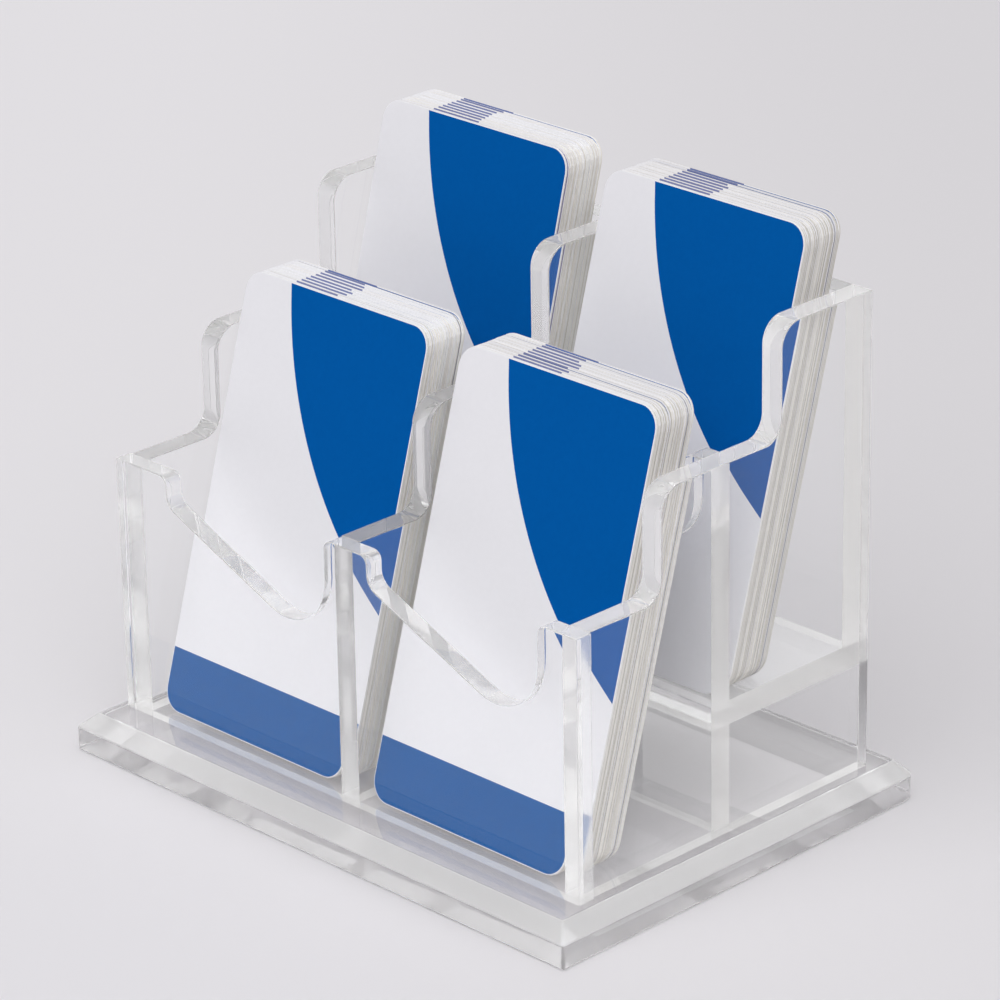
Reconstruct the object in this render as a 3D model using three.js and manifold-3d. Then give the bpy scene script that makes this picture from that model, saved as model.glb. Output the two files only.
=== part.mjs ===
// Clear acrylic desk holder for upright business cards: two tiers of two pockets, each with a stack of cards.
// Millimetres, +Z up, front towards -Y, X to the right. The origin is the middle of the base's underside.
import * as THREE from "three";
import { mergeVertices } from "three/addons/utils/BufferGeometryUtils.js";
import Module from "manifold-3d";

const wasm = await Module();
wasm.setup();

// Acrylic sheet and base plate
const sheetThickness = 5;
const frontSheetThickness = 4;
const baseEdgeHeight = 5;
const baseBevelHeight = 3;
const baseBevelRun = 3.3;
const baseFrontCornerRadius = 0.8;
const baseRearCornerRadius = 3.5;
const ledgeFrontCornerRadius = 0.4;
const ledgeRearCornerRadius = 1;
const baseSideLedge = 5.6;
const baseFrontLedge = 9.5;
const baseRearLedge = 9;

// Cards: about 2 by 3.5 inches, in loose stacks
const cardWidth = 51.6;
const cardLength = 90.3;
const cardThickness = 0.4;
const cardCornerRadius = 4.5;
const leafCards = 3;
const leafCount = 7;
const leafShift = 0.3;
const leafShiftStep = 2.4;
const leafLap = 0.02;
const cardGap = 0.3;

// Pockets: widths along X, depths along Y
const pocketSideRoom = 3.9;
const frontPocketDepth = 35;
const rearPocketDepth = 32;
const frontPanelLip = 0.5;

// Stepped profile of the side panels and the divider, heights above the base's top face
const frontHeight = 54;
const firstRiseHeight = 22;
const secondRiseHeight = 23;
const firstRise = 23;
const secondRise = 55.5;
const riseFootRadius = 4.5;
const riseHeadRadius = 5;
const rearFloorHeight = 26;

// Finger cut-out: a short drop on the left, a long slope and a round bottom against a steep right side
const cutoutSideLand = 10.5;
const cutoutLeftDrop = 6;
const cutoutSlopeDrop = 19;
const cutoutShoulderRadius = 2;
const cutoutCornerRadius = 3.5;
const cutoutBottomRadius = 11;
const frontCutoutInset = 9.5;
const frontCutoutCreep = 3.5;
const rearCutoutInset = 6;

// Each stack: its pocket, its room to the wall on its left and the room in front of its foot
const stacks = [
  { name: "front_left", pocket: 0, tier: "front", sideGap: 0.6, footGap: 2.3 },
  { name: "front_right", pocket: 1, tier: "front", sideGap: 0.5, footGap: 2.3 },
  { name: "back_left", pocket: 0, tier: "back", sideGap: 1.3, footGap: 2.2 },
  { name: "back_right", pocket: 1, tier: "back", sideGap: 2.7, footGap: 0.5 },
];

const arcSegments = 4;
const cardArcSegments = 2;
const weldTolerance = 1e-4;

// Places worked out from the sizes above
const sides = ["left", "right"];
const baseThickness = baseEdgeHeight + baseBevelHeight;
const pocketWidth = cardWidth + pocketSideRoom;
const pocketPitch = pocketWidth + sheetThickness;
const boxWidth = sides.length * pocketPitch + sheetThickness;
const rearWallDistance = frontSheetThickness + frontPocketDepth;
const backPanelDistance = rearWallDistance + sheetThickness + rearPocketDepth;
const boxDepth = backPanelDistance + sheetThickness;
const baseWidth = boxWidth + 2 * baseSideLedge;
const baseDepth = boxDepth + baseFrontLedge + baseRearLedge;
const boxLeft = -boxWidth / 2;
const pocketLeft = (index) => boxLeft + sheetThickness + index * pocketPitch;
const middleHeight = frontHeight + firstRiseHeight;
const backHeight = middleHeight + secondRiseHeight;
const rearFloorUnderside = rearFloorHeight - sheetThickness;
const cutoutWidth = pocketWidth - cutoutSideLand;

const clearAcrylic = new THREE.MeshStandardMaterial({
  color: 0xe9eff0,
  roughness: 0.04,
  metalness: 0,
  transparent: true,
  opacity: 0.3,
});
const printedCard = new THREE.MeshStandardMaterial({ color: 0x0558a4, roughness: 0.5, metalness: 0 });
const whiteCard = new THREE.MeshStandardMaterial({ color: 0xe2e1df, roughness: 0.6, metalness: 0 });

// A closed outline from corners [x, y, radius]; a corner with a radius becomes an arc.
function roundedOutline(corners) {
  const shape = new THREE.Shape();
  corners.forEach(([x, y, radius = 0], i) => {
    const corner = new THREE.Vector2(x, y);
    const before = corners[(i + corners.length - 1) % corners.length];
    const after = corners[(i + 1) % corners.length];
    const toBefore = new THREE.Vector2(before[0], before[1]).sub(corner).normalize();
    const toAfter = new THREE.Vector2(after[0], after[1]).sub(corner).normalize();
    const halfAngle = Math.acos(toBefore.dot(toAfter)) / 2;
    const reach = radius / Math.tan(halfAngle);
    const start = corner.clone().addScaledVector(toBefore, reach);
    const end = corner.clone().addScaledVector(toAfter, reach);
    if (i === 0) shape.moveTo(start.x, start.y);
    else shape.lineTo(start.x, start.y);
    if (radius === 0) return;
    const inward = toBefore.clone().add(toAfter).normalize();
    const centre = corner.clone().addScaledVector(inward, radius / Math.sin(halfAngle));
    const clockwise = toBefore.cross(toAfter) > 0;
    shape.absarc(
      centre.x,
      centre.y,
      radius,
      Math.atan2(start.y - centre.y, start.x - centre.x),
      Math.atan2(end.y - centre.y, end.x - centre.x),
      clockwise,
    );
  });
  shape.closePath();
  return shape;
}

// Sheet cut to an outline in X and Z, its thickness running back from y = 0
function sheetFacingFront(outline, thickness) {
  const geometry = new THREE.ExtrudeGeometry(outline, {
    depth: thickness,
    bevelEnabled: false,
    curveSegments: arcSegments,
  });
  const upright = new THREE.Matrix4().makeBasis(
    new THREE.Vector3(1, 0, 0),
    new THREE.Vector3(0, 0, 1),
    new THREE.Vector3(0, -1, 0),
  );
  return geometry.applyMatrix4(upright).translate(0, thickness, 0);
}

// Sheet cut to an outline in Y and Z, its thickness running right from x = 0
function sheetFacingSide(outline, thickness) {
  const geometry = new THREE.ExtrudeGeometry(outline, {
    depth: thickness,
    bevelEnabled: false,
    curveSegments: arcSegments,
  });
  const upright = new THREE.Matrix4().makeBasis(
    new THREE.Vector3(0, 1, 0),
    new THREE.Vector3(0, 0, 1),
    new THREE.Vector3(1, 0, 0),
  );
  return geometry.applyMatrix4(upright);
}

// Solid between two horizontal outlines of equal point counts, given bottom to top as {outline, z}
function stackedOutlines(levels) {
  const rings = levels.map(({ outline, z }) => outline.getPoints(arcSegments).map((p) => [p.x, p.y, z]));
  const count = rings[0].length;
  const index = [];
  for (let level = 0; level + 1 < rings.length; level++) {
    for (let i = 0; i < count; i++) {
      const next = (i + 1) % count;
      const low = level * count;
      const high = low + count;
      index.push(low + i, low + next, high + next);
      index.push(low + i, high + next, high + i);
    }
  }
  const top = (rings.length - 1) * count;
  for (let i = 1; i + 1 < count; i++) {
    index.push(0, i + 1, i);
    index.push(top, top + i, top + i + 1);
  }
  const geometry = new THREE.BufferGeometry();
  geometry.setAttribute("position", new THREE.Float32BufferAttribute(rings.flat(2), 3));
  geometry.setIndex(index);
  return geometry;
}

function rectangleOutline(width, depth, frontRadius, rearRadius) {
  return roundedOutline([
    [-width / 2, -depth / 2, frontRadius],
    [width / 2, -depth / 2, frontRadius],
    [width / 2, depth / 2, rearRadius],
    [-width / 2, depth / 2, rearRadius],
  ]);
}

// Corners of a finger cut-out along the top edge of a wall, from left to right
function cutoutCorners(start, topHeight) {
  const left = start;
  const right = start + cutoutWidth;
  return [
    [left, topHeight, cutoutShoulderRadius],
    [left, topHeight - cutoutLeftDrop, cutoutCornerRadius],
    [right, topHeight - cutoutLeftDrop - cutoutSlopeDrop, cutoutBottomRadius],
    [right, topHeight, cutoutShoulderRadius],
  ];
}

function solidOf(geometry) {
  const bare = geometry.clone();
  bare.deleteAttribute("normal");
  bare.deleteAttribute("uv");
  const merged = mergeVertices(bare, weldTolerance);
  return new wasm.Manifold(
    new wasm.Mesh({
      numProp: 3,
      vertProperties: new Float32Array(merged.attributes.position.array),
      triVerts: new Uint32Array(merged.index.array),
    }),
  );
}

function geometryOf(solid) {
  const mesh = solid.getMesh();
  const geometry = new THREE.BufferGeometry();
  geometry.setAttribute("position", new THREE.BufferAttribute(mesh.vertProperties, 3));
  geometry.setIndex(new THREE.BufferAttribute(mesh.triVerts, 1));
  geometry.computeVertexNormals();
  return geometry;
}

function addPiece(group, name, geometry, material) {
  const mesh = new THREE.Mesh(geometry, material.clone());
  mesh.name = name;
  group.add(mesh);
  return mesh;
}

// Base plate: upright polished edge with a wide bevel round the top, crisp in front and rounder behind
function basePlate() {
  const foot = rectangleOutline(baseWidth, baseDepth, baseFrontCornerRadius, baseRearCornerRadius);
  const ledge = rectangleOutline(
    baseWidth - 2 * baseBevelRun,
    baseDepth - 2 * baseBevelRun,
    ledgeFrontCornerRadius,
    ledgeRearCornerRadius,
  );
  return stackedOutlines([
    { outline: foot, z: 0 },
    { outline: foot, z: baseEdgeHeight },
    { outline: ledge, z: baseThickness },
  ]);
}

// Front panel: spans the whole box and covers the front ends of the side panels and the divider
function frontPanel() {
  const left = boxLeft - frontPanelLip;
  const right = -left;
  const corners = [[left, 0], [left, frontHeight]];
  sides.forEach((side, index) => {
    const start = pocketLeft(index) + frontCutoutInset - index * frontCutoutCreep;
    corners.push(...cutoutCorners(start, frontHeight));
  });
  corners.push([right, frontHeight], [right, 0]);
  return sheetFacingFront(roundedOutline(corners), frontSheetThickness);
}

// Side panel and divider share one profile: front level, first rise, middle level, second rise, back level
function steppedPanel() {
  return sheetFacingSide(
    roundedOutline([
      [frontSheetThickness, 0],
      [boxDepth, 0],
      [boxDepth, backHeight],
      [secondRise, backHeight, riseHeadRadius],
      [secondRise, middleHeight, riseFootRadius],
      [firstRise, middleHeight, riseHeadRadius],
      [firstRise, frontHeight, riseFootRadius],
      [frontSheetThickness, frontHeight],
    ]),
    sheetThickness,
  );
}

// Front wall of a rear pocket: stands on the rear floor, with the same finger cut-out as the front panel
function rearPocketWall() {
  const top = middleHeight - rearFloorHeight;
  const cutout = cutoutCorners(rearCutoutInset, top);
  const corners = [[0, 0], [0, top], ...cutout, [pocketWidth, top], [pocketWidth, 0]];
  return sheetFacingFront(roundedOutline(corners), sheetThickness);
}

// Plain piece between two depth-wise panels
function plainPanel(height, depth) {
  return new THREE.BoxGeometry(pocketWidth, depth, height).translate(pocketWidth / 2, depth / 2, height / 2);
}

// Lean at which the rear face of a stack rests on the top edge of the wall behind it
function stackLean(run, rise, thickness) {
  return Math.acos(thickness / Math.hypot(run, rise)) - Math.atan2(rise, run);
}

// One card or a block of cards: every card stands on its own lower edge, so the block is sheared along Y.
function leaningCards(lean, thickness) {
  const depth = thickness / Math.cos(lean);
  const outline = roundedOutline([
    [0, 0, cardCornerRadius],
    [cardWidth, 0, cardCornerRadius],
    [cardWidth, cardLength, cardCornerRadius],
    [0, cardLength, cardCornerRadius],
  ]);
  const geometry = new THREE.ExtrudeGeometry(outline, {
    depth,
    bevelEnabled: false,
    curveSegments: cardArcSegments,
  });
  const leaning = new THREE.Matrix4().makeBasis(
    new THREE.Vector3(1, 0, 0),
    new THREE.Vector3(0, Math.sin(lean), Math.cos(lean)),
    new THREE.Vector3(0, -1, 0),
  );
  return geometry.applyMatrix4(leaning).translate(0, depth, 0);
}

// The middle of a stack: leaves of a few cards each, shifted a little sideways as loose cards lie
function cardPack(lean) {
  const leafDepth = (leafCards * cardThickness) / Math.cos(lean);
  let pack = solidOf(leaningCards(lean, leafCards * cardThickness));
  for (let i = 1; i < leafCount; i++) {
    const shift = leafShift * Math.sin(leafShiftStep * i);
    const leaf = leaningCards(lean, leafCards * cardThickness + leafLap);
    leaf.translate(shift, i * leafDepth - leafLap / Math.cos(lean), 0);
    pack = pack.add(solidOf(leaf));
  }
  return geometryOf(pack);
}

function stackOfCards(group, { name, pocket, tier, sideGap, footGap }) {
  const inFront = tier === "front";
  const floor = inFront ? 0 : rearFloorHeight;
  const pocketFront = inFront ? frontSheetThickness : rearWallDistance + sheetThickness;
  const wallBehind = inFront ? rearWallDistance : backPanelDistance;
  const wallTop = inFront ? middleHeight : backHeight;
  const packThickness = leafCount * leafCards * cardThickness;
  const thickness = packThickness + 2 * cardThickness + 2 * cardGap;
  const footFront = pocketFront + footGap;
  const lean = stackLean(wallBehind - cardGap - footFront, wallTop - floor - cardGap, thickness);
  const along = (distance) => distance / Math.cos(lean);

  const stack = new THREE.Group();
  stack.position.set(pocketLeft(pocket) + sideGap, footFront, floor + cardGap);
  addPiece(stack, name + "_front_card", leaningCards(lean, cardThickness), printedCard);
  const pack = addPiece(stack, name + "_card_pack", cardPack(lean), whiteCard);
  pack.position.y = along(cardThickness + cardGap);
  const rear = addPiece(stack, name + "_rear_card", leaningCards(lean, cardThickness), whiteCard);
  rear.position.y = along(cardThickness + 2 * cardGap + packThickness);
  group.add(stack);
}

const part = new THREE.Group();
addPiece(part, "base_plate", basePlate(), clearAcrylic);

const box = new THREE.Group();
box.position.set(0, -baseDepth / 2 + baseFrontLedge, baseThickness);
part.add(box);

addPiece(box, "front_panel", frontPanel(), clearAcrylic);
addPiece(box, "left_side_panel", steppedPanel(), clearAcrylic).position.x = boxLeft;
addPiece(box, "centre_divider", steppedPanel(), clearAcrylic).position.x = boxLeft + pocketPitch;
addPiece(box, "right_side_panel", steppedPanel(), clearAcrylic).position.x = boxLeft + 2 * pocketPitch;

const riser = plainPanel(rearFloorUnderside, sheetThickness);
const floorPanel = plainPanel(sheetThickness, boxDepth - rearWallDistance);
const backPanel = plainPanel(backHeight - rearFloorHeight, sheetThickness);
sides.forEach((side, index) => {
  const x = pocketLeft(index);
  const riserWall = addPiece(box, side + "_riser_wall", riser, clearAcrylic);
  riserWall.position.set(x, rearWallDistance, 0);
  const rearFloor = addPiece(box, side + "_rear_floor", floorPanel, clearAcrylic);
  rearFloor.position.set(x, rearWallDistance, rearFloorUnderside);
  const pocketWall = addPiece(box, side + "_rear_pocket_wall", rearPocketWall(), clearAcrylic);
  pocketWall.position.set(x, rearWallDistance, rearFloorHeight);
  const back = addPiece(box, side + "_back_panel", backPanel, clearAcrylic);
  back.position.set(x, backPanelDistance, rearFloorHeight);
});

stacks.forEach((stack) => stackOfCards(box, stack));

export default part;
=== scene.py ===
import math
import random

import bmesh
import bpy
from mathutils import Matrix, Vector


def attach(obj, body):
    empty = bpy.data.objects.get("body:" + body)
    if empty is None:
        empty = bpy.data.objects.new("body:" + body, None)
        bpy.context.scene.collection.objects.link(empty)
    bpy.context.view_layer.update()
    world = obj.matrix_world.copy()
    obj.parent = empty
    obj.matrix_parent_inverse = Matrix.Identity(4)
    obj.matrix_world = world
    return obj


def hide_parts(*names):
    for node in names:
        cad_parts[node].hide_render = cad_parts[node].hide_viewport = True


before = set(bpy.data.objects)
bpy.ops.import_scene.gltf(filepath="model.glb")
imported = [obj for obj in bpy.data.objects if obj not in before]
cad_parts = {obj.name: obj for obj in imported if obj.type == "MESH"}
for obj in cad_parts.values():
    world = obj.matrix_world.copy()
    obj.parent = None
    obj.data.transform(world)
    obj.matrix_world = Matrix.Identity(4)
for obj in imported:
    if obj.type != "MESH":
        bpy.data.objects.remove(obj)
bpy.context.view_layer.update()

MM = 0.001

# Sizes in millimetres, in the box's own coordinates: x from its left side panel's outer face,
# y from the front panel's outer face going back, z up from the base plate's top face.
SHEET, FRONT_SHEET = 5.0, 4.0
CARD_W, CARD_L, CARD_T, CARD_R = 51.6, 90.3, 0.4, 4.5
POCKET_PLAY = 3.9
POCKET_W = CARD_W + POCKET_PLAY
PITCH = POCKET_W + SHEET
BOX_W = 2 * PITCH + SHEET
FRONT_POCKET_D, REAR_POCKET_D = 35.0, 32.0
REAR_WALL = FRONT_SHEET + FRONT_POCKET_D
BACK_PANEL = REAR_WALL + SHEET + REAR_POCKET_D
BOX_D = BACK_PANEL + SHEET
FLOOR_H, FRONT_H, MIDDLE_H, BACK_H = 26.0, 54.0, 76.0, 99.0

# The front panel reaches this far past each side panel
LIP = 0.5

# The side panels' stepped profile: where its two rises stand, and the radii at a rise's foot and head
RISE_1, RISE_2, FOOT_R, HEAD_R = 23.0, 55.5, 4.5, 5.0

# The finger cut-outs: width, depths below the panel's top, radii, and where they start in a pocket
CUT_W = POCKET_W - 10.5
SHOULDER_DEPTH, CUT_DEPTH = 6.0, 25.0
MOUTH_R, SHOULDER_R, BOTTOM_R = 2.0, 3.5, 11.0
FRONT_CUT_STARTS, REAR_CUT_START = (9.5, 6.0), 6.0

# The base plate: heights of its upright edge and its bevel, the bevel's width, the ledges round the box,
# and the corner radii below and above the bevel
BASE_EDGE, BASE_BEVEL, BASE_RUN = 5.0, 3.0, 3.3
BASE_T = BASE_EDGE + BASE_BEVEL
LEDGE_SIDE, LEDGE_FRONT, LEDGE_REAR = 5.6, 9.5, 9.0
BASE_W = BOX_W + 2 * LEDGE_SIDE
BASE_D = BOX_D + LEDGE_FRONT + LEDGE_REAR
BASE_FRONT_R, BASE_REAR_R = 0.8, 3.5
BASE_TOP_FRONT_R, BASE_TOP_REAR_R = 0.4, 1.0
# The underside's middle starts this far inside the box's outer faces; both are grey as painted shade of the
# floor under the plate, and the rim round it is darker.
RIM_IN = 4.4

# Glued pieces reach this far into each other
WELD = 0.02
# Width of the small bevels on the sheets' polished edges and on the base plate's, and their steps
POLISH, BASE_POLISH, POLISH_STEPS = 0.22, 0.3, 3
# Faces that meet at more than this angle are shaded as separate ones
SHARP_ANGLE = math.radians(20)
# Two stretches of an outline meet in a corner where the cosine of the turn is under this
CORNER_COSINE = 0.9


def row(x, y, z):
    """A point of the box's coordinates, in metres in the shared frame."""
    return Vector(((x - BOX_W / 2) * MM, (y - BASE_D / 2 + LEDGE_FRONT) * MM, (z + BASE_T) * MM))


# Materials
ACRYLIC_IOR = 1.49
# The places of a colour Mix node's sockets
MIX_FACTOR, MIX_A, MIX_B, MIX_RESULT = 0, 6, 7, 2


def new_material(name):
    mat = bpy.data.materials.new(name)
    mat.use_nodes = True
    return mat, mat.node_tree, mat.node_tree.nodes["Principled BSDF"]


def set_inputs(node, values):
    for socket, value in values.items():
        node.inputs[socket].default_value = value


def object_noise(tree, scale, detail=3.0, stretch=(1, 1, 1)):
    """Noise that stays with the object, finer along an axis where stretch is larger."""
    coords = tree.nodes.new("ShaderNodeTexCoord")
    mapping = tree.nodes.new("ShaderNodeMapping")
    noise = tree.nodes.new("ShaderNodeTexNoise")
    set_inputs(mapping, {"Scale": stretch})
    set_inputs(noise, {"Scale": scale, "Detail": detail, "Roughness": 0.55})
    tree.links.new(coords.outputs["Object"], mapping.inputs["Vector"])
    tree.links.new(mapping.outputs["Vector"], noise.inputs["Vector"])
    return noise


def bump_from(tree, shader, noise, strength, distance):
    """Gives the shader a relief that follows the noise."""
    bump = tree.nodes.new("ShaderNodeBump")
    set_inputs(bump, {"Strength": strength, "Distance": distance})
    tree.links.new(noise.outputs["Fac"], bump.inputs["Height"])
    tree.links.new(bump.outputs["Normal"], shader.inputs["Normal"])


def two_colours(tree, low, low_colour, high, high_colour):
    """A ramp from one colour to another between two values of what feeds it."""
    ramp = tree.nodes.new("ShaderNodeValToRGB")
    first, last = ramp.color_ramp.elements
    first.position = low
    first.color = (*low_colour, 1)
    last.position = high
    last.color = (*high_colour, 1)
    return ramp


def acrylic(name, colour, shade, rough=0.0, wave=0.01, wave_scale=60.0, transmission=1.0, gloss=1.0):
    """Clear acrylic with faint waves. Light from a lamp goes straight through, and each surface lets the
    share called shade pass; gloss scales its head-on reflections."""
    mat, tree, shader = new_material(name)
    set_inputs(shader, {
        "Base Color": (*colour, 1),
        "Transmission Weight": transmission,
        "IOR": ACRYLIC_IOR,
        "Roughness": rough,
        "Specular Tint": (gloss, gloss, gloss, 1),
    })
    bump_from(tree, shader, object_noise(tree, wave_scale), strength=wave, distance=0.0004)
    path = tree.nodes.new("ShaderNodeLightPath")
    clear = tree.nodes.new("ShaderNodeBsdfTransparent")
    set_inputs(clear, {"Color": (shade, shade, shade, 1)})
    mix = tree.nodes.new("ShaderNodeMixShader")
    out = tree.nodes["Material Output"]
    tree.links.new(path.outputs["Is Shadow Ray"], mix.inputs[0])
    tree.links.new(shader.outputs[0], mix.inputs[1])
    tree.links.new(clear.outputs[0], mix.inputs[2])
    tree.links.new(mix.outputs[0], out.inputs["Surface"])
    return mat


FACE = acrylic("acrylic_face", (0.998, 1.0, 1.0), shade=0.87, gloss=0.62)
EDGE = acrylic("acrylic_polished_edge", (0.98, 0.982, 0.985), shade=0.85,
               rough=0.02, wave=0.08, wave_scale=90.0, transmission=0.9)
# The glued edges' share of matt white, small here and large in the seams below, is painted light for the
# bright reflections inside the sheets along their joints.
JOINT = acrylic("acrylic_glued_edge", (0.99, 0.99, 0.99), shade=0.98,
                rough=0.12, wave=0.0, wave_scale=500.0, transmission=0.82)
SEAM_PAINTED_LIGHT = acrylic("acrylic_seam_painted_light", (1.0, 0.99, 0.985), shade=1.0,
               rough=0.08, wave=0.02, wave_scale=300.0, transmission=0.6)
BASE_TOP = acrylic("acrylic_base_top", (0.995, 0.995, 0.995), shade=1.0, gloss=0.8)
BEVEL = acrylic("acrylic_base_bevel", (0.98, 0.975, 0.98), shade=0.85, wave=0.02, transmission=0.6)
BASE_SIDE = acrylic("acrylic_base_edge", (1.0, 0.995, 1.0), shade=0.75, wave=0.012, transmission=0.97)
# The underside colours are painted shade: grey for the shaded floor seen through the plate, darkest round
# the rim.
UNDER_PAINTED_SHADE = acrylic("acrylic_underside_painted_shade", (0.84, 0.83, 0.84), shade=0.82,
                rough=0.01, wave_scale=100.0, transmission=0.75)
RIM_PAINTED_SHADE = acrylic("acrylic_rim_painted_shade", (0.57, 0.56, 0.57), shade=0.55,
                    rough=0.01, wave_scale=100.0, transmission=0.75)

# The sheets' materials: faces, open polished edges, edges glued clear and glued edges whose pale seam is
# painted light.
# The mark of an edge is the place of its material in that list.
SHEET_MATERIALS = [FACE, EDGE, JOINT, SEAM_PAINTED_LIGHT]
OPEN, CLEAR, PALE = 1, 2, 3

# The base plate's materials and their places
BASE_MATERIALS = [BASE_TOP, BEVEL, BASE_SIDE, UNDER_PAINTED_SHADE, RIM_PAINTED_SHADE]
ON_BEVEL, ON_SIDE, ON_UNDER_PAINTED_SHADE, ON_RIM_PAINTED_SHADE = 1, 2, 3, 4


def paper(name, colour, fleck, rough, grain, gloss):
    """Matt card stock with fine flecks of a second colour and a slight grain."""
    mat, tree, shader = new_material(name)
    noise = object_noise(tree, scale=900.0, detail=4.0)
    ramp = two_colours(tree, 0.35, fleck, 0.65, colour)
    tree.links.new(noise.outputs["Fac"], ramp.inputs["Fac"])
    tree.links.new(ramp.outputs["Color"], shader.inputs["Base Color"])
    set_inputs(shader, {"Roughness": rough, "Specular IOR Level": gloss})
    bump_from(tree, shader, noise, strength=grain, distance=0.00005)
    return mat


def blue_print(name, colour, fleck):
    return paper(name, colour, fleck, rough=0.65, grain=0.03, gloss=0.004)


def cut_paper():
    """Cut card edges: warm grey, with each card's own tint and fine fibres."""
    mat, tree, shader = new_material("card_cut_edge")
    tint = tree.nodes.new("ShaderNodeAttribute")
    tint.attribute_name = "tint"
    noise = object_noise(tree, scale=1500.0, detail=4.0, stretch=(1, 1, 0.25))
    fibres = two_colours(tree, 0.3, (0.90, 0.90, 0.90), 0.7, (1, 1, 1))
    mix = tree.nodes.new("ShaderNodeMix")
    mix.data_type = "RGBA"
    mix.blend_type = "MULTIPLY"
    set_inputs(mix, {MIX_FACTOR: 1.0})
    tree.links.new(noise.outputs["Fac"], fibres.inputs["Fac"])
    tree.links.new(tint.outputs["Color"], mix.inputs[MIX_A])
    tree.links.new(fibres.outputs["Color"], mix.inputs[MIX_B])
    tree.links.new(mix.outputs[MIX_RESULT], shader.inputs["Base Color"])
    set_inputs(shader, {"Roughness": 0.8, "Specular IOR Level": 0.1})
    bump_from(tree, shader, noise, strength=0.3, distance=0.00006)
    return mat


# The cards' materials and their places
CARD_MATERIALS = [
    paper("card_white", (0.86, 0.855, 0.89), (0.85, 0.845, 0.88), rough=0.6, grain=0.05, gloss=0.03),
    blue_print("card_blue_print", (0.001, 0.101, 0.388), (0.0008, 0.096, 0.374)),
    cut_paper(),
    # The foot band is print; its blue, a little darker than the field's, is painted shade that offsets the
    # light the front panel lays over it.
    blue_print("card_blue_band_painted_shade", (0.001, 0.102, 0.35), (0.0008, 0.097, 0.335)),
    blue_print("card_print_edge", (0.22, 0.245, 0.45), (0.20, 0.225, 0.42)),
]
BARE, PRINTED, CUT_EDGE, FOOT_BAND, PRINTED_RIM = range(5)


# Acrylic sheets
def outline(corners, segments=14):
    """Closed outline from corners (u, v, radius, mark), where the mark is that of the straight edge after
    the corner. Gives the points and, for each of them, the mark of the edge that follows it."""
    points, marks = [], []
    n = len(corners)
    for i, (u, v, radius, mark) in enumerate(corners):
        corner = Vector((u, v))
        if radius == 0:
            points.append(corner)
            marks.append(mark)
            continue
        to_before = (Vector(corners[i - 1][:2]) - corner).normalized()
        to_after = (Vector(corners[(i + 1) % n][:2]) - corner).normalized()
        half = math.acos(max(-1.0, min(1.0, to_before.dot(to_after)))) / 2
        centre = corner + (to_before + to_after).normalized() * (radius / math.sin(half))
        start = corner + to_before * (radius / math.tan(half)) - centre
        end = corner + to_after * (radius / math.tan(half)) - centre
        first = math.atan2(start.y, start.x)
        turn = math.atan2(start.x * end.y - start.y * end.x, start.dot(end))
        for k in range(segments + 1):
            a = first + turn * k / segments
            points.append(centre + Vector((math.cos(a), math.sin(a))) * radius)
            marks.append(OPEN)
        marks[-1] = mark
    return points, marks


def new_bmesh():
    bm = bmesh.new()
    bm.edges.layers.float.new("bevel_weight_edge")
    return bm


def finish_mesh(bm, name, materials, bevel_edges, bevel=POLISH):
    """The object of a finished mesh, with a small rounded bevel on the edges named."""
    bmesh.ops.recalc_face_normals(bm, faces=bm.faces)
    weight = bm.edges.layers.float["bevel_weight_edge"]
    for edge in bevel_edges:
        edge[weight] = 1.0
    for face in bm.faces:
        face.smooth = True
    mesh = bpy.data.meshes.new(name)
    bm.to_mesh(mesh)
    bm.free()
    for material in materials:
        mesh.materials.append(material)
    mesh.set_sharp_from_angle(angle=SHARP_ANGLE)
    ob = bpy.data.objects.new(name, mesh)
    bpy.context.scene.collection.objects.link(ob)
    rounding = ob.modifiers.new("polished_edges", "BEVEL")
    rounding.limit_method = "WEIGHT"
    rounding.width = bevel * MM
    rounding.segments = POLISH_STEPS
    normals = ob.modifiers.new("even_normals", "WEIGHTED_NORMAL")
    normals.mode = "FACE_AREA"
    normals.keep_sharp = True
    return ob


def sheet(name, node, corners, place, thickness=SHEET):
    """A sheet cut to an outline. place(u, v, w) puts a point of the outline at depth w into the frame."""
    points, marks = outline(corners)
    n = len(points)
    bm = new_bmesh()
    near = [bm.verts.new(place(p.x, p.y, 0.0)) for p in points]
    far = [bm.verts.new(place(p.x, p.y, thickness)) for p in points]
    bm.faces.new(near)
    bm.faces.new(list(reversed(far)))
    bevel_edges = []
    for i in range(n):
        j = (i + 1) % n
        bm.faces.new([near[j], near[i], far[i], far[j]]).material_index = marks[i]
        if marks[i] == OPEN:
            bevel_edges += [bm.edges.get((near[i], near[j])), bm.edges.get((far[i], far[j]))]
    for i in range(n):
        before, after = points[i] - points[i - 1], points[(i + 1) % n] - points[i]
        is_corner = before.normalized().dot(after.normalized()) < CORNER_COSINE
        if is_corner and marks[i - 1] == OPEN and marks[i] == OPEN:
            bevel_edges.append(bm.edges.get((near[i], far[i])))
    ob = finish_mesh(bm, name, SHEET_MATERIALS, bevel_edges)
    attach(ob, "holder")
    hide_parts(node)


def facing_front(x0, y0, z0):
    """Places an upright outline that faces the front, with its depth going back."""
    return lambda u, v, w: row(x0 + u, y0 + w, z0 + v)


def facing_side(x0):
    """Places an upright outline that faces the side, with its depth going right."""
    return lambda u, v, w: row(x0 + w, u, v)


def cutout(start, top):
    """The corners of a finger cut-out, from left to right: short drop, long slope, steep right end."""
    return [
        (start, top, MOUTH_R, OPEN),
        (start, top - SHOULDER_DEPTH, SHOULDER_R, OPEN),
        (start + CUT_W, top - CUT_DEPTH, BOTTOM_R, OPEN),
        (start + CUT_W, top, MOUTH_R, OPEN),
    ]


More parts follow.
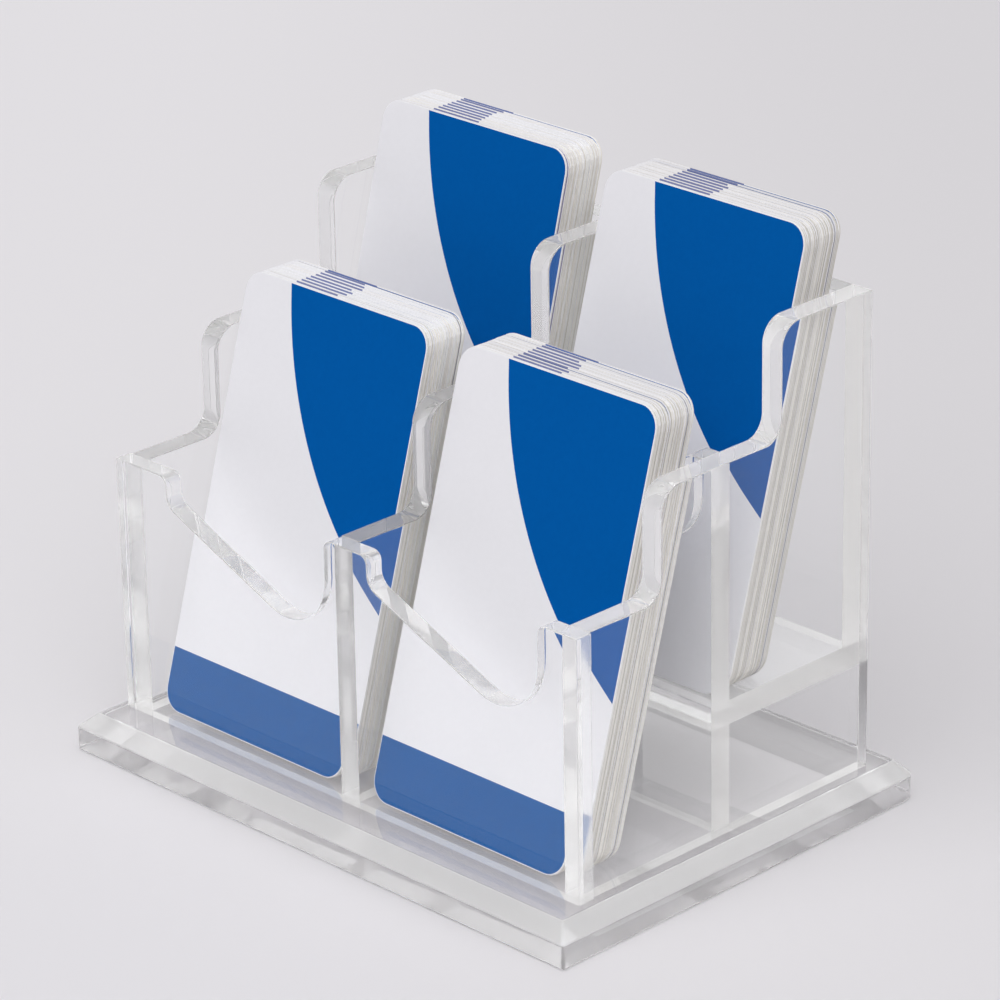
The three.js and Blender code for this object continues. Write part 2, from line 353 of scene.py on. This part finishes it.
def front_panel():
    corners = [(-LIP, -WELD, 0, OPEN), (-LIP, FRONT_H, 0, OPEN)]
    for pocket, start in enumerate(FRONT_CUT_STARTS):
        corners += cutout(SHEET + pocket * PITCH + start, FRONT_H)
    corners += [(BOX_W + LIP, FRONT_H, 0, OPEN), (BOX_W + LIP, -WELD, 0, PALE)]
    sheet("front_panel_acrylic", "front_panel", corners, facing_front(0, 0, 0), thickness=FRONT_SHEET)


def side_panels():
    """Left side panel, divider and right side panel, of one stepped profile."""
    front = FRONT_SHEET - WELD
    profile = [
        (front, -WELD, 0, PALE),
        (BOX_D, -WELD, 0, OPEN),
        (BOX_D, BACK_H, 0, OPEN),
        (RISE_2, BACK_H, HEAD_R, OPEN),
        (RISE_2, MIDDLE_H, FOOT_R, OPEN),
        (RISE_1, MIDDLE_H, HEAD_R, OPEN),
        (RISE_1, FRONT_H, FOOT_R, OPEN),
        (front, FRONT_H, 0, CLEAR),
    ]
    for k, node in enumerate(("left_side_panel", "centre_divider", "right_side_panel")):
        sheet(node + "_acrylic", node, profile, facing_side(k * PITCH))


def rear_pocket(side, left):
    """Riser wall, raised floor, front wall and back panel of one rear pocket, glued between the side
    panels; left is where the pocket starts."""
    x0, x1 = -WELD, POCKET_W + WELD

    def plain(z0, z1, bottom, top):
        return [(x0, z0, 0, bottom), (x1, z0, 0, PALE), (x1, z1, 0, top), (x0, z1, 0, PALE)]

    under_floor = FLOOR_H - SHEET
    sheet(side + "_riser_wall_acrylic", side + "_riser_wall",
          plain(-WELD, under_floor + WELD, PALE, PALE), facing_front(left, REAR_WALL, 0))
    sheet(side + "_rear_floor_acrylic", side + "_rear_floor",
          plain(0, SHEET, OPEN, OPEN), facing_front(left, REAR_WALL, under_floor),
          thickness=BOX_D - REAR_WALL)
    wall_top = MIDDLE_H - FLOOR_H
    sheet(side + "_rear_pocket_wall_acrylic", side + "_rear_pocket_wall",
          [(x0, -WELD, 0, PALE), (x0, wall_top, 0, OPEN)] + cutout(REAR_CUT_START, wall_top)
          + [(x1, wall_top, 0, PALE), (x1, -WELD, 0, PALE)],
          facing_front(left, REAR_WALL, FLOOR_H))
    sheet(side + "_back_panel_acrylic", side + "_back_panel",
          plain(-WELD, BACK_H - FLOOR_H, PALE, OPEN), facing_front(left, BACK_PANEL, FLOOR_H))


def base_plate():
    """Thick plate: upright polished edge, wide polished bevel, flat top; crisp in front, rounder behind."""
    bm = new_bmesh()

    def ring(inset, front_r, rear_r, z):
        w, d = BASE_W / 2 - inset, BASE_D / 2 - inset
        points, _ = outline([(-w, -d, front_r, OPEN), (w, -d, front_r, OPEN),
                             (w, d, rear_r, OPEN), (-w, d, rear_r, OPEN)], segments=12)
        return [bm.verts.new(Vector((p.x * MM, p.y * MM, z * MM))) for p in points]

    foot = ring(0, BASE_FRONT_R, BASE_REAR_R, 0)
    brow = ring(0, BASE_FRONT_R, BASE_REAR_R, BASE_EDGE)
    top = ring(BASE_RUN, BASE_TOP_FRONT_R, BASE_TOP_REAR_R, BASE_T)
    n = len(foot)

    x_far, y_far = BOX_W - RIM_IN, BOX_D - RIM_IN
    middle = [bm.verts.new(row(x, y, -BASE_T))
              for x, y in ((RIM_IN, RIM_IN), (x_far, RIM_IN), (x_far, y_far), (RIM_IN, y_far))]
    bm.faces.new(list(reversed(middle))).material_index = ON_UNDER_PAINTED_SHADE
    per_corner = n // 4
    for k in range(4):
        first = k * per_corner + per_corner // 2
        span = [foot[(first + i) % n] for i in range(per_corner + 1)]
        rim = bm.faces.new(list(reversed(span)) + [middle[k], middle[(k + 1) % 4]])
        rim.material_index = ON_RIM_PAINTED_SHADE

    bm.faces.new(top)
    for lower, upper, material in ((foot, brow, ON_SIDE), (brow, top, ON_BEVEL)):
        for i in range(n):
            j = (i + 1) % n
            bm.faces.new([lower[i], lower[j], upper[j], upper[i]]).material_index = material
    bevel_edges = [bm.edges.get((r[i], r[(i + 1) % n])) for r in (foot, brow, top) for i in range(n)]
    ob = finish_mesh(bm, "base_plate_acrylic", BASE_MATERIALS, bevel_edges, bevel=BASE_POLISH)
    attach(ob, "holder")
    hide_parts("base_plate")


front_panel()
side_panels()
rear_pocket("left", SHEET)
rear_pocket("right", SHEET + PITCH)
base_plate()


# Cards

# The print, in millimetres on the card: the foot band's height, and the arc that bounds the blue field
BAND = 12.8
ARC_U, ARC_V, ARC_R = 94.4, CARD_L + 16.0, 83.5
# The bare rim round the print, on front and rear cards and on the loose ones, and its slope backward
RIM, LOOSE_RIM, CHAMFER = 0.2, 0.32, 0.05
# Steps in a rounded corner and in the arc, for the same two kinds of card
FINE_STEPS, LOOSE_STEPS = (8, 28), (5, 8)

# In the solids a stack is a front card, a pack and a rear card, with a gap after each of the first two.
# Here it is a front card, loose cards and a last card, a little thinner, in the same thickness. GAP is
# also the play between a stack and what it stands on and leans on.
GAP = 0.3
PACK_T = 21 * CARD_T
STACK_T = PACK_T + 2 * CARD_T + 2 * GAP
CARD_COUNT = 24
SHOWN_T = CARD_T * 0.9

# Cards that a hand has squared up: small shifts and turns, and two of three cards stand a little lower
SHIFT, TURN, SUNK = 0.06, 0.0006, 0.2
# Every third card's blue runs over the rim for about this length of the top edge
BLEED, BLEED_SPREAD, LAST_BLEED, LEAST_BLEED = 12.4, 1.2, 14.0, 1.0

# Colours of the cut edges, up to a lightest one. A power under 1 makes light cards more common than dark
# ones. Faces within TOP_ZONE of a card's upper end are its top edge, painted a little lighter as painted
# light from above.
LIGHT_CUT, DARK_CUT = Vector((0.86, 0.83, 0.78)), Vector((0.57, 0.54, 0.49))
FRONT_CARD_CUT = (0.86, 0.85, 0.83)
LIGHTEST, TINT_POWER = (0.95, 0.94, 0.92), 0.7
TOP_ZONE, TOP_PAINTED_LIGHT, TOP_PAINTED_LIGHT_LIMIT = 1.0, 1.12, 0.95

# Each stack: its pocket from the left, front or rear row, how far its left edge and its foot stand from
# the pocket's left wall and front, the seed of its small differences, a factor on its cut edges' colour
# that is painted light where shade falls between the stacks (above 1) and painted shade (below 1), the
# wider gaps after some cards, and its one dark card with that card's colour, which is painted shade of a
# deep gap.
STACKS = {
    "front_left": dict(
        pocket=0, front=True, side=0.6, foot=2.3, seed=3, painted_light_scale=1.2,
        gaps={4: 0.10, 12: 0.09}, shaded_gap_card=21, shaded_gap_cut=(0.36, 0.35, 0.36)),
    "front_right": dict(
        pocket=1, front=True, side=0.5, foot=2.3, seed=5, painted_light_scale=0.97,
        gaps={8: 0.14, 19: 0.16, 21: 0.16}, shaded_gap_card=20, shaded_gap_cut=(0.40, 0.39, 0.40)),
    "back_left": dict(
        pocket=0, front=False, side=1.3, foot=2.2, seed=8, painted_light_scale=1.2,
        gaps={3: 0.15, 15: 0.08}, shaded_gap_card=1, shaded_gap_cut=(0.22, 0.19, 0.36)),
    "back_right": dict(
        pocket=1, front=False, side=2.7, foot=0.5, seed=11, painted_light_scale=0.95,
        gaps={9: 0.08, 20: 0.17}, shaded_gap_card=20, shaded_gap_cut=(0.38, 0.37, 0.40)),
}


def print_arc(steps):
    """The blue field's left boundary: one circular arc from the top edge to the right edge."""
    low = ARC_V - math.sqrt(ARC_R ** 2 - (ARC_U - CARD_W) ** 2)
    points = []
    for k in range(steps):
        v = CARD_L + (low - CARD_L) * k / steps
        points.append((ARC_U - math.sqrt(ARC_R ** 2 - (ARC_V - v) ** 2), v))
    return points + [(CARD_W, low)]


def card_rim(inset, arc, bleed_end, corner_steps):
    """The card's outline, inset from its edge, with points where the print meets it. It starts at the
    lower left corner and goes along the lower edge, the right side, the top edge and the left side."""
    low, far_u, far_v, r = inset, CARD_W - inset, CARD_L - inset, CARD_R - inset
    corners = []
    for centre_u, centre_v, first in (
            (low + r, low + r, math.pi), (far_u - r, low + r, 1.5 * math.pi),
            (far_u - r, far_v - r, 0.0), (low + r, far_v - r, 0.5 * math.pi)):
        angles = [first + math.pi / 2 * k / corner_steps for k in range(corner_steps + 1)]
        corners.append([(centre_u + r * math.cos(a), centre_v + r * math.sin(a)) for a in angles])
    right_side = [(far_u, BAND), (far_u, arc[-1][1])]
    top_edge = [(bleed_end, far_v), (arc[0][0], far_v)]
    return corners[0] + corners[1] + right_side + corners[2] + top_edge + corners[3] + [(low, BAND)]


def add_card(bm, tint_layer, origin, lean, tint, fine, shift=(0.0, 0.0), turn=0.0, band=True, bleed=0.0):
    """One card, standing at origin and leaning back. Its printed side faces front, inside a thin bare
    rim; bleed is how far along the top edge the blue runs over the rim."""
    right = Vector((1, 0, 0))
    up = Vector((0, math.sin(lean), math.cos(lean)))
    back = Vector((0, math.cos(lean), -math.sin(lean)))
    corner_steps, arc_steps = FINE_STEPS if fine else LOOSE_STEPS

    def at(u, v, w):
        from_middle = u - CARD_W / 2
        across = CARD_W / 2 + from_middle * math.cos(turn) - v * math.sin(turn) + shift[0]
        along = from_middle * math.sin(turn) + v * math.cos(turn) + shift[1]
        return origin + (right * across + up * along + back * w) * MM

    arc = print_arc(arc_steps)
    bleed_end = arc[0][0] + max(bleed, LEAST_BLEED)
    inner_points = card_rim(RIM if fine else LOOSE_RIM, arc, bleed_end, corner_steps)
    outer_points = card_rim(0.0, arc, bleed_end, corner_steps)
    inner = [bm.verts.new(at(u, v, 0.0)) for u, v in inner_points]
    outer = [bm.verts.new(at(u, v, CHAMFER)) for u, v in outer_points]
    behind = [bm.verts.new(at(u, v, SHOWN_T)) for u, v in outer_points]
    curve = [bm.verts.new(at(u, v, 0.0)) for u, v in arc[1:-1]]

    # Where the print meets the outline, as places in the list that card_rim gives
    per_corner = corner_steps + 1
    band_right, curve_right = 2 * per_corner, 2 * per_corner + 1
    bleed_stop, curve_top = 3 * per_corner + 2, 3 * per_corner + 3
    band_left = 4 * per_corner + 4

    foot = bm.faces.new([inner[band_left]] + inner[:band_right + 1])
    foot.material_index = FOOT_BAND if band else BARE
    bm.faces.new([inner[band_left], inner[band_right], inner[curve_right]] + list(reversed(curve))
                 + inner[curve_top:band_left])
    field = bm.faces.new(inner[curve_right:curve_top + 1] + curve)
    field.material_index = PRINTED
    bm.faces.new(list(reversed(behind)))

    # The top edge's colour is painted lighter: painted light from above.
    top_painted_light_tint = [min(part * TOP_PAINTED_LIGHT, TOP_PAINTED_LIGHT_LIMIT) for part in tint]
    for i, (_, height) in enumerate(outer_points):
        j = (i + 1) % len(outer_points)
        rim = bm.faces.new([inner[j], inner[i], outer[i], outer[j]])
        rim.material_index = PRINTED_RIM if bleed and i == bleed_stop else BARE
        edge = bm.faces.new([outer[j], outer[i], behind[i], behind[j]])
        edge.material_index = CUT_EDGE
        on_top = min(height, outer_points[j][1]) > CARD_L - TOP_ZONE
        for loop in edge.loops:
            loop[tint_layer] = (*(top_painted_light_tint if on_top else tint), 1.0)


def cards_object(name, cards, body, nodes):
    bm = bmesh.new()
    layer = bm.loops.layers.float_color.new("tint")
    for card in cards:
        add_card(bm, layer, **card)
    bmesh.ops.recalc_face_normals(bm, faces=bm.faces)
    mesh = bpy.data.meshes.new(name)
    bm.to_mesh(mesh)
    bm.free()
    for material in CARD_MATERIALS:
        mesh.materials.append(material)
    ob = bpy.data.objects.new(name, mesh)
    bpy.context.scene.collection.objects.link(ob)
    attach(ob, body)
    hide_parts(*nodes)


def stack(name, pocket, front, side, foot, seed, painted_light_scale, gaps, shaded_gap_card, shaded_gap_cut):
    """The cards of one pocket, which lean on the top edge of the wall or panel behind them."""
    floor_z = 0.0 if front else FLOOR_H
    pocket_front = FRONT_SHEET if front else REAR_WALL + SHEET
    wall = REAR_WALL if front else BACK_PANEL
    wall_top = MIDDLE_H if front else BACK_H
    x0, y0 = SHEET + pocket * PITCH + side, pocket_front + foot
    run, rise = wall - GAP - y0, wall_top - floor_z - GAP
    lean = math.acos(STACK_T / math.hypot(run, rise)) - math.atan2(rise, run)
    rnd = random.Random(seed)

    pitch = (STACK_T - CARD_T - sum(gaps.values())) / (CARD_COUNT - 1)
    distances = [0.0]
    for i in range(CARD_COUNT - 1):
        distances.append(distances[-1] + (pitch + gaps.get(i, 0.0)))

    def origin(i):
        return row(x0, y0 + distances[i] / math.cos(lean), floor_z + GAP)

    # Each cut edge's colour is scaled by the stack's factor: painted light where shade falls between the
    # stacks, painted shade on the right stacks.
    def tint():
        colour = DARK_CUT.lerp(LIGHT_CUT, rnd.uniform(0.0, 1.0) ** TINT_POWER) * painted_light_scale
        return [min(part, most) for part, most in zip(colour, LIGHTEST)]

    cards_object(name + "_top_card",
                 [dict(origin=origin(0), lean=lean, tint=FRONT_CARD_CUT, fine=True, band=front)],
                 name + "_top_card", [name + "_front_card"])
    loose = []
    for i in range(1, CARD_COUNT - 1):
        third = i % 3 == 0
        loose.append(dict(
            # One card's cut edge gets a dark colour: painted shade of a deep gap between cards.
            origin=origin(i), lean=lean, tint=shaded_gap_cut if i == shaded_gap_card else tint(),
            fine=False, band=front,
            shift=(rnd.uniform(-SHIFT, SHIFT), 0.0 if third else -SUNK), turn=rnd.uniform(-TURN, TURN),
            bleed=BLEED + rnd.uniform(-BLEED_SPREAD, BLEED_SPREAD) if third else 0.0))
    cards_object(name + "_loose_cards", loose, name + "_cards", [name + "_card_pack"])
    cards_object(name + "_last_card",
                 [dict(origin=origin(CARD_COUNT - 1), lean=lean, tint=tint(), fine=True, band=front,
                       bleed=LAST_BLEED)],
                 name + "_cards", [name + "_rear_card"])


for stack_name, values in STACKS.items():
    stack(stack_name, **values)


# Floor and light, with distances in metres

# The floor is a large square, just under the base plate. Its colour goes from the lighter first to the
# darker second across one direction, less so at the near end of the other: painted light and shade of
# uneven studio light.
FLOOR_REACH, FLOOR_Z = 6.0, -0.00025
FLOOR_PAINTED_LIGHT_AND_SHADE = (0.745, 0.73, 0.755), (0.665, 0.65, 0.672)
ACROSS, ACROSS_START, ACROSS_END = (0.70, 0.71, 0.0), -0.12, 0.16
ALONG, ALONG_START, ALONG_END, ALONG_LEAST = (-0.71, 0.70, 0.0), -0.10, 0.06, 0.35

# The world as it is seen, from the horizon to where a direction's upward part is SKY_TOP, and the even
# light it gives
SKY_LOW, SKY_HIGH, SKY_TOP = (0.85, 0.845, 0.85), (0.98, 0.98, 0.98), 0.8
AMBIENT, AMBIENT_STRENGTH = (1.0, 0.995, 1.0), 0.42

SUN_STRENGTH, SUN_WIDTH = 1.98, math.radians(80)
TO_SUN = Vector((0.30, -0.31, 0.90))


def fade(tree, coords, direction, start, end, least=0.0):
    """A value that rises smoothly from least to 1 between two distances along a direction."""
    distance = tree.nodes.new("ShaderNodeVectorMath")
    distance.operation = "DOT_PRODUCT"
    distance.inputs[1].default_value = direction
    ramp = tree.nodes.new("ShaderNodeMapRange")
    ramp.interpolation_type = "SMOOTHSTEP"
    set_inputs(ramp, {"From Min": start, "From Max": end, "To Min": least})
    tree.links.new(coords.outputs["Object"], distance.inputs[0])
    tree.links.new(distance.outputs["Value"], ramp.inputs["Value"])
    return ramp.outputs["Result"]


def floor_paper():
    """Matt paper whose colour passes softly from a lighter to a darker one, as painted light and shade."""
    mat, tree, shader = new_material("floor_paper")
    coords = tree.nodes.new("ShaderNodeTexCoord")
    both = tree.nodes.new("ShaderNodeMath")
    both.operation = "MULTIPLY"
    mix = tree.nodes.new("ShaderNodeMix")
    mix.data_type = "RGBA"
    set_inputs(mix, {MIX_A: (*FLOOR_PAINTED_LIGHT_AND_SHADE[0], 1), MIX_B: (*FLOOR_PAINTED_LIGHT_AND_SHADE[1], 1)})
    tree.links.new(fade(tree, coords, ACROSS, ACROSS_START, ACROSS_END), both.inputs[0])
    tree.links.new(fade(tree, coords, ALONG, ALONG_START, ALONG_END, ALONG_LEAST), both.inputs[1])
    tree.links.new(both.outputs[0], mix.inputs[MIX_FACTOR])
    tree.links.new(mix.outputs[MIX_RESULT], shader.inputs["Base Color"])
    set_inputs(shader, {"Roughness": 0.9, "Specular IOR Level": 0.1})
    return mat


def floor():
    mesh = bpy.data.meshes.new("floor")
    corners = [(x * FLOOR_REACH, y * FLOOR_REACH, FLOOR_Z) for x, y in ((-1, -1), (1, -1), (1, 1), (-1, 1))]
    mesh.from_pydata(corners, [], [(0, 1, 2, 3)])
    mesh.materials.append(floor_paper())
    ob = bpy.data.objects.new("floor", mesh)
    bpy.context.scene.collection.objects.link(ob)


def studio_world():
    """Seen straight, in reflections and through the acrylic, the world is a pale grey that gets lighter
    upward. Matt surfaces get a weaker, even light from it."""
    world = bpy.data.worlds.new("studio")
    bpy.context.scene.world = world
    world.use_nodes = True
    tree = world.node_tree
    tree.nodes.clear()
    coords = tree.nodes.new("ShaderNodeTexCoord")
    split = tree.nodes.new("ShaderNodeSeparateXYZ")
    sky = two_colours(tree, 0.0, SKY_LOW, SKY_TOP, SKY_HIGH)
    seen = tree.nodes.new("ShaderNodeBackground")
    ambient = tree.nodes.new("ShaderNodeBackground")
    set_inputs(ambient, {"Color": (*AMBIENT, 1), "Strength": AMBIENT_STRENGTH})
    path = tree.nodes.new("ShaderNodeLightPath")
    mix = tree.nodes.new("ShaderNodeMixShader")
    out = tree.nodes.new("ShaderNodeOutputWorld")
    tree.links.new(coords.outputs["Generated"], split.inputs[0])
    tree.links.new(split.outputs["Z"], sky.inputs["Fac"])
    tree.links.new(sky.outputs["Color"], seen.inputs["Color"])
    tree.links.new(path.outputs["Is Diffuse Ray"], mix.inputs[0])
    tree.links.new(seen.outputs[0], mix.inputs[1])
    tree.links.new(ambient.outputs[0], mix.inputs[2])
    tree.links.new(mix.outputs[0], out.inputs["Surface"])


def soft_sun():
    """A very wide sun from the front, the right and above, for soft shadows and light tops."""
    sun = bpy.data.lights.new("soft_key", "SUN")
    sun.energy = SUN_STRENGTH
    sun.angle = SUN_WIDTH
    ob = bpy.data.objects.new("soft_key", sun)
    ob.rotation_euler = TO_SUN.normalized().to_track_quat("Z", "Y").to_euler()
    bpy.context.scene.collection.objects.link(ob)


floor()
studio_world()
soft_sun()


# Camera: its direction from the target and its roll, its distance in metres, its focal length in pixels
AZIMUTH, ELEVATION, ROLL = math.radians(45.5), math.radians(22.84), math.radians(-1.02)
TARGET, DISTANCE, FOCAL = row(65.0, 41.83, 50.81), 0.95246, 4899.33
PICTURE_W, SENSOR_W = 1000.0, 36.0


def photo_camera():
    back = Vector((math.sin(AZIMUTH) * math.cos(ELEVATION), -math.cos(AZIMUTH) * math.cos(ELEVATION),
                   math.sin(ELEVATION)))
    level = Vector((math.cos(AZIMUTH), math.sin(AZIMUTH), 0))
    above = back.cross(level)
    right = level * math.cos(ROLL) + above * math.sin(ROLL)
    up = above * math.cos(ROLL) - level * math.sin(ROLL)
    camera = bpy.data.cameras.new("camera")
    camera.sensor_width = SENSOR_W
    camera.lens = FOCAL * SENSOR_W / PICTURE_W
    ob = bpy.data.objects.new("camera", camera)
    place = Matrix((right, up, back)).transposed().to_4x4()
    place.translation = TARGET + back * DISTANCE
    ob.matrix_world = place
    bpy.context.scene.collection.objects.link(ob)
    bpy.context.scene.camera = ob


photo_camera()

# Light passes through many sheets and comes back from many edges
BOUNCES, CLEAR_BOUNCES = 48, 32
scene = bpy.context.scene
scene.view_settings.view_transform = "Standard"
scene.cycles.max_bounces = BOUNCES
scene.cycles.transmission_bounces = BOUNCES
scene.cycles.glossy_bounces = BOUNCES
scene.cycles.transparent_max_bounces = CLEAR_BOUNCES
